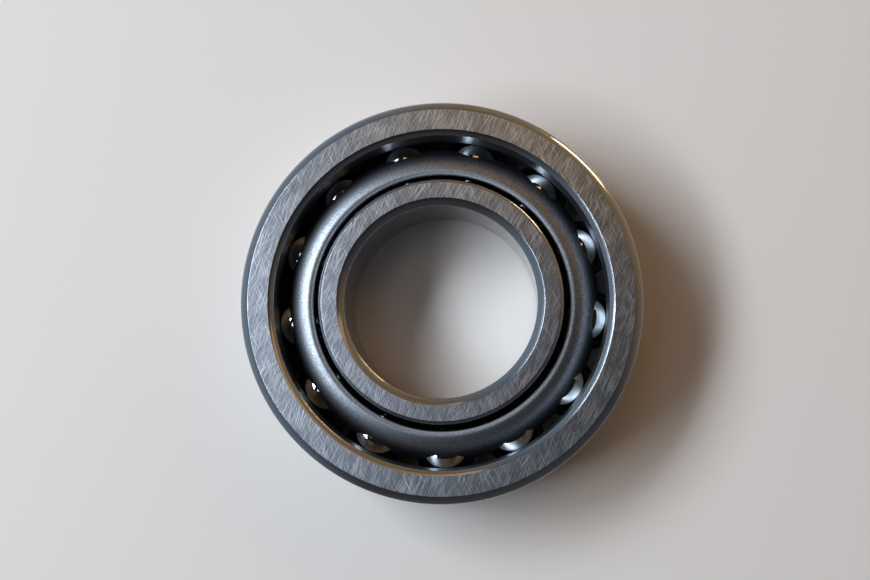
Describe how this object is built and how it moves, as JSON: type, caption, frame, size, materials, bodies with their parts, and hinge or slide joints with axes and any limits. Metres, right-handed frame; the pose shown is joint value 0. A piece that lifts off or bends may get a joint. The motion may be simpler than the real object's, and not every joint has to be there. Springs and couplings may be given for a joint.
{
  "type": "angular contact ball bearing",
  "caption": "Single-row angular contact ball bearing: ground steel rings with one-sided thrust shoulders, polished balls and a one-piece pressed steel cage.",
  "frame": {"origin": "centre of the bore, on the plane that the rings stand on", "axes": "+Z along the axis of rotation, towards the outer ring's thrust face; X and Y across the rings"},
  "size_m": [0.052, 0.052, 0.015],
  "materials": {
    "ring_steel": "ground",
    "ball_steel": "mirror polished",
    "cage_steel": "tumbled"
  },
  "bodies": {
    "outer_ring": {"outer_ring": "ring_steel"},
    "inner_ring": {"inner_ring": "ring_steel"},
    "cage": {"cage": "cage_steel"},
    "ball_01": {"ball_01": "ball_steel"},
    "ball_02": {"ball_02": "ball_steel"},
    "ball_03": {"ball_03": "ball_steel"},
    "ball_04": {"ball_04": "ball_steel"},
    "ball_05": {"ball_05": "ball_steel"},
    "ball_06": {"ball_06": "ball_steel"},
    "ball_07": {"ball_07": "ball_steel"},
    "ball_08": {"ball_08": "ball_steel"},
    "ball_09": {"ball_09": "ball_steel"},
    "ball_10": {"ball_10": "ball_steel"},
    "ball_11": {"ball_11": "ball_steel"},
    "ball_12": {"ball_12": "ball_steel"},
    "ball_13": {"ball_13": "ball_steel"}
  },
  "joints": [
    {"name": "inner_ring_spin", "type": "hinge", "parent": "outer_ring", "child": "inner_ring", "pos_m": [0, 0, 0.0075], "axis": [0, 0, 1], "continuous": true},
    {"name": "cage_spin", "type": "hinge", "parent": "outer_ring", "child": "cage", "pos_m": [0, 0, 0.0075], "axis": [0, 0, 1], "continuous": true},
    {"name": "ball_01_spin", "type": "hinge", "parent": "cage", "child": "ball_01", "pos_m": [0.01811, 0.00724, 0.0075], "axis": [-0.5968, -0.2387, 0.766], "continuous": true},
    {"name": "ball_02_spin", "type": "hinge", "parent": "cage", "child": "ball_02", "pos_m": [0.01267, 0.01483, 0.0075], "axis": [-0.4175, -0.4887, 0.766], "continuous": true},
    {"name": "ball_03_spin", "type": "hinge", "parent": "cage", "child": "ball_03", "pos_m": [0.00433, 0.01901, 0.0075], "axis": [-0.1426, -0.6268, 0.766], "continuous": true},
    {"name": "ball_04_spin", "type": "hinge", "parent": "cage", "child": "ball_04", "pos_m": [-0.00501, 0.01885, 0.0075], "axis": [0.165, -0.6212, 0.766], "continuous": true},
    {"name": "ball_05_spin", "type": "hinge", "parent": "cage", "child": "ball_05", "pos_m": [-0.01319, 0.01436, 0.0075], "axis": [0.4348, -0.4734, 0.766], "continuous": true},
    {"name": "ball_06_spin", "type": "hinge", "parent": "cage", "child": "ball_06", "pos_m": [-0.01835, 0.00659, 0.0075], "axis": [0.605, -0.2171, 0.766], "continuous": true},
    {"name": "ball_07_spin", "type": "hinge", "parent": "cage", "child": "ball_07", "pos_m": [-0.01931, -0.0027, 0.0075], "axis": [0.6366, 0.0889, 0.766], "continuous": true},
    {"name": "ball_08_spin", "type": "hinge", "parent": "cage", "child": "ball_08", "pos_m": [-0.01585, -0.01136, 0.0075], "axis": [0.5223, 0.3746, 0.766], "continuous": true},
    {"name": "ball_09_spin", "type": "hinge", "parent": "cage", "child": "ball_09", "pos_m": [-0.00875, -0.01743, 0.0075], "axis": [0.2884, 0.5744, 0.766], "continuous": true},
    {"name": "ball_10_spin", "type": "hinge", "parent": "cage", "child": "ball_10", "pos_m": [0.00035, -0.0195, 0.0075], "axis": [-0.0116, 0.6427, 0.766], "continuous": true},
    {"name": "ball_11_spin", "type": "hinge", "parent": "cage", "child": "ball_11", "pos_m": [0.00937, -0.0171, 0.0075], "axis": [-0.3089, 0.5637, 0.766], "continuous": true},
    {"name": "ball_12_spin", "type": "hinge", "parent": "cage", "child": "ball_12", "pos_m": [0.01624, -0.01079, 0.0075], "axis": [-0.5355, 0.3556, 0.766], "continuous": true},
    {"name": "ball_13_spin", "type": "hinge", "parent": "cage", "child": "ball_13", "pos_m": [0.0194, -0.002, 0.0075], "axis": [-0.6394, 0.066, 0.766], "continuous": true}
  ],
  "couplings": [
    {"joint": "cage_spin", "follows": "inner_ring_spin", "ratio": 0.42204},
    {"joint": "ball_01_spin", "follows": "inner_ring_spin", "ratio": -2.3968},
    {"joint": "ball_02_spin", "follows": "inner_ring_spin", "ratio": -2.3968},
    {"joint": "ball_03_spin", "follows": "inner_ring_spin", "ratio": -2.3968},
    {"joint": "ball_04_spin", "follows": "inner_ring_spin", "ratio": -2.3968},
    {"joint": "ball_05_spin", "follows": "inner_ring_spin", "ratio": -2.3968},
    {"joint": "ball_06_spin", "follows": "inner_ring_spin", "ratio": -2.3968},
    {"joint": "ball_07_spin", "follows": "inner_ring_spin", "ratio": -2.3968},
    {"joint": "ball_08_spin", "follows": "inner_ring_spin", "ratio": -2.3968},
    {"joint": "ball_09_spin", "follows": "inner_ring_spin", "ratio": -2.3968},
    {"joint": "ball_10_spin", "follows": "inner_ring_spin", "ratio": -2.3968},
    {"joint": "ball_11_spin", "follows": "inner_ring_spin", "ratio": -2.3968},
    {"joint": "ball_12_spin", "follows": "inner_ring_spin", "ratio": -2.3968},
    {"joint": "ball_13_spin", "follows": "inner_ring_spin", "ratio": -2.3968}
  ]
}
